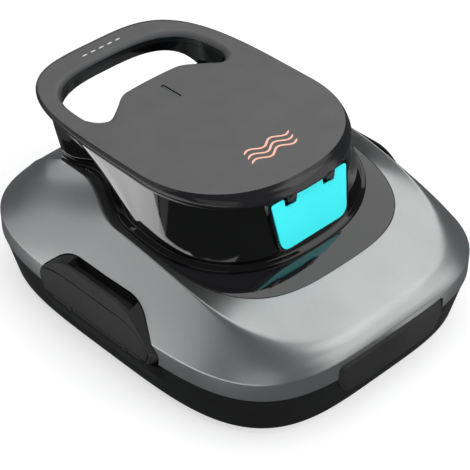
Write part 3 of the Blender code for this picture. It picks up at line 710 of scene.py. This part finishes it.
def make_flaps():
    for name, side in ENDS:
        low, high, _ = flap_corners(side, 0.0)
        half = flap_half(low)
        corners = [(-half, low, 10.0), (half, low, 10.0), (FLAP_TOP_HALF, high, 3.0)]
        for x in (CLIP_X, -CLIP_X):
            corners += [(x + 7.4, high, 1.0), (x + 6.8, high - 8.0, 1.5), (x - 6.8, high - 8.0, 1.5),
                        (x - 7.4, high, 1.0)]
        corners.append((-FLAP_TOP_HALF, high, 3.0))
        points = rounded_polygon(corners, 5)

        def thickness(z):
            return FLAP_THICK - (FLAP_THICK - FLAP_THIN) * (z - low) / (high - low)

        def inside(p):
            return Vector((p.x, flap_y(p.y, side, -thickness(p.y)), p.y))

        def scoop_floor(p):
            return Vector((p.x, flap_y(p.y, side, -0.05 + 0.05 * (p.x + 30.0)), p.y))

        flap = make_object("flap_" + name, prism_mesh(points, on_flap(side, 0.0), inside), [CYAN])
        scoop = rounded_polygon([(-35.5, low + 22.0, 1.5), (-29.5, low + 19.0, 1.5),
                                 (-29.5, high + 5.0, 0.5), (-39.5, high + 5.0, 0.5)], 3)
        carve(flap, [prism_mesh(scoop, scoop_floor, on_flap(side, 4.0))])
        soften(flap, 0.7, 3)
        flatten(flap)
        seat(flap, "jet_flap_" + name, "jet_flap_" + name, slot="cyan_flap")
        for clip, x in (("a", -CLIP_X), ("b", CLIP_X)):
            y = sorted((flap_y(high, side, 3.6), flap_y(high, side, -5.0)))
            block = block_mesh((x - 5.0, y[0], high - 3.2), (x + 5.0, y[1], high + 4.6), 0.8)
            cap = make_object("flap_clip_%s_%s" % (name, clip), block, [BEVEL_SATIN])
            y = sorted((flap_y(high - 4, side, 2.4), flap_y(high - 4, side, 0.5)))
            hook = block_mesh((x - 0.4, y[0], high - 6.6), (x + 4.4, y[1], high + 2.0), 0.6)
            carve(cap, [hook], "UNION")
            seat(cap, "upper")
        _, _, border_out = flap_corners(side, 3.2)
        _, _, border_in = flap_corners(side, 0.9)
        border = prism_mesh(rounded_polygon(border_out), on_flap(side, -0.9), on_flap(side, -6.0))
        bezel = make_object("outlet_bezel_" + name, border, [POD_GLOSS])
        carve(bezel, [prism_mesh(rounded_polygon(border_in), on_flap(side, 6.0), on_flap(side, -9.0))])
        soften(bezel, 0.5, 2)
        seat(bezel, "upper", "flap_pin_" + name)


# ---------------------------------------------------------------- latches

def latch_face(z, depth=0.0):
    """How far out a latch's flat face stands at one height."""
    return LATCH_OUT_X - 0.04 * (z - 43.5) - depth


def shell_face(z):
    """How far out the silver shell stands beside a latch."""
    return SKIRT[0] - 0.5 * max(z - CREASE_Z, 0.0)


def make_latches():
    for name, side in SIDES:
        def ring(outline, x_of):
            return [Vector((side * x_of(p.y), p.x, p.y)) for p in outline]

        flange = latch_outline(0.9, 0.9, 0.9, 49.4, 0.9)
        rings = [ring(latch_outline(5.0, 5.0, 0.9, 49.4, 6.0), lambda z: 163.4 if z < 54.0 else 150.0),
                 ring(flange, lambda z: min(shell_face(z), 164.6) - 0.4),
                 ring(latch_outline(8.0, 3.2, 3.0, 49.4, 2.6), latch_face),
                 ring(latch_outline(10.5, 5.6, 5.4, 51.8, 5.0), latch_face)]
        rings = filleted(rings, (0.0, 0.8, 1.2, 0.0))
        latch = make_object("latch_cover_" + name, loft_mesh(rings), [LATCH_GREY])
        pocket = rounded_polygon([(-47.0, 84.0, 3.0), (-40.0, 110.0, 1.0),
                                  (35.0, 110.0, 1.0), (37.0, 84.0, 3.0)])
        panel = rounded_polygon([(-60.0, 40.0, 3.0), (-75.0, 59.0, 9.0), (-50.0, 79.0, 15.0),
                                 (52.0, 79.0, 15.0), (90.0, 66.0, 8.0), (90.0, 40.0, 3.0)])
        border = rounded_polygon([(-57.6, 36.0, 3.0), (-72.6, 59.2, 8.0), (-49.2, 77.4, 14.0),
                                  (51.4, 77.4, 14.0), (92.0, 63.6, 7.0), (92.0, 36.0, 3.0)])
        carve(latch, [prism_mesh(pocket, at_x(side * 140.0), on_latch(side, 2.4)),
                      prism_mesh(panel, on_latch(side, 0.8), at_x(side * 172.0))])
        wide = rounded_polygon([(-60.4, 38.0, 3.0), (-75.4, 59.0, 9.2), (-50.0, 79.4, 15.2),
                                (52.0, 79.4, 15.2), (91.0, 66.2, 8.0), (91.0, 38.0, 3.0)])
        groove = [ring(outline, lambda z, d=depth: latch_face(z, d))
                  for outline, depth in ((wide, 1.9), (wide, -6.0), (border, -6.0), (border, 1.9))]
        carve(latch, [loft_mesh(groove, closed=True)])
        soften(latch, 0.7, 3)
        for y in KNUCKLES_Y:
            low, high = sorted_corner((side * 163.9, y - 3.0, 44.4), (side * 166.4, y + 3.0, 51.0))
            carve(latch, [block_mesh(low, high, 0.5)], "UNION")
        flatten(latch)
        seat(latch, "latch_" + name, "latch_" + name, slot="base_grey")
        arrow = rounded_polygon([(-5.0, 88.0, 0.6), (3.0, 88.0, 0.6), (-1.0, 83.6, 0.6)], 3)
        arrow = prism_mesh(arrow, on_latch(side, -0.15), on_latch(side, 0.8))
        seat(make_object("latch_arrow_" + name, arrow, [DARK_GAP]), "latch_" + name)
        low, high = sorted_corner((side * 149.5, -82.0, 54.0), (side * 147.5, 76.0, 92.0))
        recess = make_object("recess_" + name, block_mesh(low, high, 0.4), [DARK_GAP])
        seat(recess, "upper", "latch_recess_" + name, slot="base_grey")


# ---------------------------------------------------------------- tray, bumpers and wheels

def tray_size(z):
    """Half the tray's width and half its length at one height."""
    share = (z - TRAY_BOTTOM_Z) / (TRAY_RIM_Z - TRAY_BOTTOM_Z)
    return [low + (high - low) * share for low, high in zip(TRAY_BOTTOM, TRAY_RIM)]


def tray_outline(z, inset=0.0):
    half_width, half_length = tray_size(z)
    return oval(half_width - inset, half_length - inset, z)


def make_hinge_pads():
    """The swelling of the tray under each latch, slotted for the latch's two knuckles."""
    for name, side in SIDES:
        outer, inner = [], []
        for step in range(25):
            z = PAD_LOW_Z + (PAD_HIGH_Z - PAD_LOW_Z) * step / 24.0
            width, length = tray_size(z)
            out_row, in_row = [], []
            for k in range(85):
                y = PAD_FRONT_Y + (PAD_REAR_Y - PAD_FRONT_Y) * k / 84.0
                skin = width * (1.0 - abs(y / length) ** SHELL_POWER) ** (1.0 / SHELL_POWER)
                ends = (smoothstep(y, PAD_FRONT_Y, PAD_FRONT_Y + 16.0)
                        * smoothstep(-y, -PAD_REAR_Y, -PAD_REAR_Y + 16.0))
                swell = (166.2 - skin) * smoothstep(z, 20.0, 48.0) * ends
                out_row.append(Vector((side * (skin - 0.4 + swell), y, z)))
                in_row.append(Vector((side * (skin - 2.0), y, z)))
            outer.append(out_row)
            inner.append(in_row)
        pad = make_object("hinge_pad_" + name, slab_mesh(outer, inner), [BASE_GREY])
        soften(pad, 0.4, 2, 50.0)
        for y in KNUCKLES_Y:
            low, high = sorted_corner((side * 170.0, y - 4.4, 43.8), (side * 160.0, y + 4.4, 52.0))
            carve(pad, [block_mesh(low, high, 0.4)])
        seat(pad, "base")


def make_tray():
    rings = filleted([tray_outline(TRAY_BOTTOM_Z, 6.0), tray_outline(TRAY_BOTTOM_Z, 3.0),
                      tray_outline(TRAY_BOTTOM_Z + 4.0), tray_outline(TRAY_RIM_Z)], (0.0, 2.0, 3.0, 0.0))
    tray = make_object("tray_shell", loft_mesh(rings), [BASE_GREY])
    carve(tray, [loft_mesh([tray_outline(9.0, 6.0), tray_outline(12.0, 3.0), tray_outline(57.0, 3.0)])])
    corners = [(sx * WHEEL_X, sy * WHEEL_Y) for sx in (-1, 1) for sy in (-1, 1)]
    arches = [block_mesh((x - 10, y - 22, 7.5), (x + 10, y + 22, 38.0), 2.0, 3) for x, y in corners]
    carve(tray, arches, "UNION")
    tools = [block_mesh((x - 7.5, y - 19.5, -2), (x + 7.5, y + 19.5, 36.0), 1.0) for x, y in corners]
    tools += [block_mesh((-55.0, y, 0.0), (55.0, y + 24.0, 12.0), 2.0, 3) for y in (-122.0, 98.0)]
    tools += [block_mesh((x - 2.0, -93.5, 12.0), (x + 2.0, -92.7, 60.0), 0.0) for x in (-163.6, 163.6)]
    carve(tray, tools)
    soften(tray, 0.6, 2)
    seat(tray, "base", "base_tray", slot="base_grey")


def make_bumpers():
    for name, side in ENDS:
        def ring(inset, out):
            points = []
            for p in bumper_outline(inset):
                arc = (1.0 - abs(p.x / 163.0) ** SHELL_POWER) ** (1.0 / SHELL_POWER)
                points.append(Vector((p.x, side * out(p.y) * arc, p.y)))
            return points

        rings = [ring(0.0, lambda z: 190.0 + 0.16 * (z - 27.0)), ring(0.0, lambda z: BUMPER_OUT - 3.4),
                 ring(3.0, lambda z: BUMPER_OUT - 0.4), ring(6.0, lambda z: BUMPER_OUT - 0.4)]
        pad = make_object("bumper_pad_" + name, loft_mesh(filleted(rings, (0.0, 0.8, 0.9, 0.0))), [RUBBER])
        seat(pad, "base", "bumper_" + name, slot="rubber")


def make_wheels():
    """Wheels with a ribbed tread and a dished hub."""
    sides = 96
    inner_half = [(2.9, -6.0), (6.0, -6.0), (7.5, -4.0), (13.0, -4.0), (14.0, -6.0), (16.0, -6.0),
                  (WHEEL_RADIUS, -4.8)]
    profile = inner_half + [(radius, -along) for radius, along in inner_half[::-1]]
    for end, sy in ENDS:
        for hand, sx in SIDES:
            name = end + "_" + hand
            centre = Vector((sx * WHEEL_X, sy * WHEEL_Y, WHEEL_RADIUS))
            rings = []
            for radius, along in profile:
                ring = []
                for k in range(sides):
                    a = 2.0 * math.pi * k / sides
                    reach = radius - (0.5 if radius > 15.0 and k % 4 == 0 else 0.0)
                    ring.append(centre + Vector((along, reach * math.cos(a), reach * math.sin(a))))
                rings.append(ring)
            wheel = make_object("wheel_tyre_" + name, loft_mesh(rings, closed=True), [RUBBER])
            seat(wheel, "wheel_" + name, "wheel_" + name, slot="rubber")


def dress_cad_nodes():
    """Finer finishes for the CAD nodes that stay."""
    finishes = {"axle_": STEEL, "latch_pin_": BEVEL_SATIN, "lid_screw_": STEEL, "pump_motor_": STEEL,
                "impeller_": INNER, "jet_duct_": INNER, "inlet_flap_": RUBBER, "wiper_strip_": RUBBER,
                "motor_chamber": INNER, "chamber_lid": INNER, "chamber_seal": RUBBER,
                "battery_pack": CELLS, "control_board": BOARD, "filter_frame": INNER,
                "filter_mesh": MESH_CLOTH, "power_button": CHARCOAL, "charge_socket": INNER,
                "charge_cap": RUBBER}
    for node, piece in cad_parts.items():
        for start, finish in finishes.items():
            if node.startswith(start):
                piece.material_slots[0].material = finish


# ---------------------------------------------------------------- stage, light and camera

def make_stage():
    bm = bmesh.new()
    bmesh.ops.create_grid(bm, x_segments=1, y_segments=1, size=4000.0)
    paper = Graph("floor_paper", (0.5, 0.5, 0.5), 0.9)
    paper.shader.inputs["Emission Color"].default_value = (1.0, 1.0, 1.0, 1.0)
    paper.shader.inputs["Emission Strength"].default_value = 0.62
    paper.mix_colour(paper.noise(3.0), 0.01)
    floor = make_object("floor", bm, [paper.material])
    floor.visible_glossy = False
    world = bpy.data.worlds.new("studio")
    world.use_nodes = True
    world.node_tree.nodes["Background"].inputs["Color"].default_value = (0.92, 0.96, 1.0, 1.0)
    world.node_tree.nodes["Background"].inputs["Strength"].default_value = 0.12
    bpy.context.scene.world = world
    bpy.context.scene.view_settings.view_transform = "Standard"


def area_light(name, place, way, width, height, radiance):
    """A rectangular light at a place, facing against way; radiance is what a mirror would show."""
    light = bpy.data.lights.new(name, "AREA")
    light.shape = "RECTANGLE"
    light.size, light.size_y = width, height
    light.energy = radiance * math.pi * width * height
    lamp = bpy.data.objects.new(name, light)
    lamp.location = place
    lamp.rotation_mode = "QUATERNION"
    lamp.rotation_quaternion = way.to_track_quat("Z", "Y")
    return lamp


def softbox(name, direction, distance, width, height, radiance, glossy=True, diffuse=True):
    """A light in one direction from the object, facing it."""
    way = Vector(direction).normalized()
    lamp = area_light(name, Vector((0.0, 0.0, 0.08)) + way * distance, way, width, height, radiance)
    lamp.visible_glossy = glossy
    lamp.visible_diffuse = diffuse
    bpy.context.scene.collection.objects.link(lamp)


def floor_card(name, low, high, radiance, height=0.002, only=()):
    """A glowing card that faces up and shows in reflections alone; only names the pieces it shines on."""
    middle = ((low[0] + high[0]) / 2.0, (low[1] + high[1]) / 2.0, height)
    lamp = area_light(name, middle, Vector((0.0, 0.0, -1.0)), high[0] - low[0], high[1] - low[1], radiance)
    lamp.visible_camera = False
    lamp.visible_diffuse = False
    if only:
        seen_by = bpy.data.collections.new(name + "_receivers")
        for piece in only:
            seen_by.objects.link(bpy.data.objects[piece])
        lamp.light_linking.receiver_collection = seen_by
    bpy.context.scene.collection.objects.link(lamp)


def make_lights():
    softbox("overhead_fill", (0.0, 0.0, 1.0), 2.4, 3.0, 3.0, 2.0, glossy=False)
    softbox("rear_top", (0.54, 0.35, 0.77), 1.7, 1.7, 1.5, 1.20, diffuse=False)
    softbox("front_top", (0.54, -0.42, 0.75), 1.7, 1.1, 0.6, 1.7, diffuse=False)
    softbox("left_side", (-0.66, 0.56, 0.42), 1.7, 2.2, 2.2, 0.53, diffuse=False)
    softbox("front_right", (0.54, -0.78, 0.26), 1.6, 1.3, 1.3, 1.10)
    softbox("camera_side", (-0.66, -0.58, 0.30), 2.2, 1.6, 1.1, 0.50, diffuse=False)
    softbox("front_fill", (-0.2, -1.0, 0.6), 1.8, 1.6, 1.0, 2.2, glossy=False)
    floor_card("left_panel", (-0.95, -0.62), (-0.30, 0.60), 1.6)
    floor_card("left_strip", (-0.245, -0.02), (-0.205, 0.28), 0.6)
    floor_card("front_strip", (0.06, -0.30), (0.25, -0.245), 0.8)
    floor_card("pod_panel", (-0.40, -0.13), (-0.117, 0.30), 4.5, 0.098, ("pod_wall",))


def make_camera():
    data = bpy.data.cameras.new("camera")
    data.lens, data.sensor_width = 133.05, 36.0
    camera = bpy.data.objects.new("camera", data)
    camera.location = (-0.8631, -0.9005, 1.0539)
    azimuth, elevation = math.radians(-43.94), math.radians(38.65)
    back = Vector((math.sin(azimuth) * math.cos(elevation), -math.cos(azimuth) * math.cos(elevation),
                   math.sin(elevation)))
    camera.rotation_mode = "QUATERNION"
    camera.rotation_quaternion = (-back).to_track_quat("-Z", "Y")
    bpy.context.scene.collection.objects.link(camera)
    bpy.context.scene.camera = camera


make_camera()
make_cover()
make_deck()
make_pod()
make_plate()
make_collar()
make_marks()
make_flaps()
make_latches()
make_tray()
make_hinge_pads()
make_bumpers()
make_wheels()
dress_cad_nodes()
make_stage()
make_lights()
